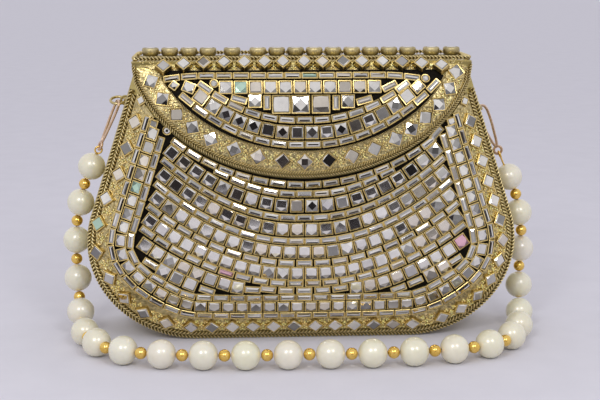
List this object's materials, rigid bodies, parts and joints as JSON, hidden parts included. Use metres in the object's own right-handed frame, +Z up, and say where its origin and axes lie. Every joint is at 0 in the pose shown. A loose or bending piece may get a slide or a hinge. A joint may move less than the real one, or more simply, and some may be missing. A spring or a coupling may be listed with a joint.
{
  "type": "clutch bag",
  "caption": "Hard-shelled metal clutch bag with a hinged D-shaped flap, front and flap paved with bezelled stones, twisted-wire edging and a hanging handle of pearls and gold beads.",
  "frame": {"origin": "middle of the flat base that the bag stands on", "axes": "+X to the right seen from the front, +Y from the front to the back, +Z up"},
  "size_m": [0.2452, 0.1086, 0.1442],
  "materials": {
    "brass": "antiqued, embossed",
    "lac_mosaic": "black lac with set stones",
    "stones": "foil-backed",
    "rose_gold": "polished",
    "gold_beads": "polished",
    "pearl": "pearl lacquer"
  },
  "bodies": {
    "bag": {"body_shell": "brass", "front_band": "brass", "front_mosaic": "lac_mosaic", "front_rope_outer": "brass", "front_rope_inner": "brass", "hinge_pin": "brass", "ring_left": "brass", "ring_right": "brass", "hook_left": "rose_gold", "hook_right": "rose_gold", "pearl_01": "pearl", "pearl_02": "pearl", "pearl_03": "pearl", "pearl_04": "pearl", "pearl_05": "pearl", "pearl_06": "pearl", "pearl_07": "pearl", "pearl_08": "pearl", "pearl_09": "pearl", "pearl_10": "pearl", "pearl_11": "pearl", "pearl_12": "pearl", "pearl_13": "pearl", "pearl_14": "pearl", "pearl_15": "pearl", "pearl_16": "pearl", "pearl_17": "pearl", "pearl_18": "pearl", "pearl_19": "pearl", "pearl_20": "pearl", "pearl_21": "pearl", "pearl_22": "pearl", "pearl_23": "pearl", "pearl_24": "pearl", "bead_run_left": "gold_beads", "bead_run_front": "gold_beads", "bead_run_right": "gold_beads"},
    "flap": {"flap_shell": "brass", "flap_band": "brass", "flap_mosaic": "lac_mosaic", "flap_rope": "brass", "top_rope": "brass", "top_stones": "stones"}
  },
  "joints": [
    {"name": "flap_hinge", "type": "hinge", "parent": "bag", "child": "flap", "pos_m": [0, 0.0245, 0.1372], "axis": [-1, 0, 0], "range_deg": [0, 110]}
  ]
}
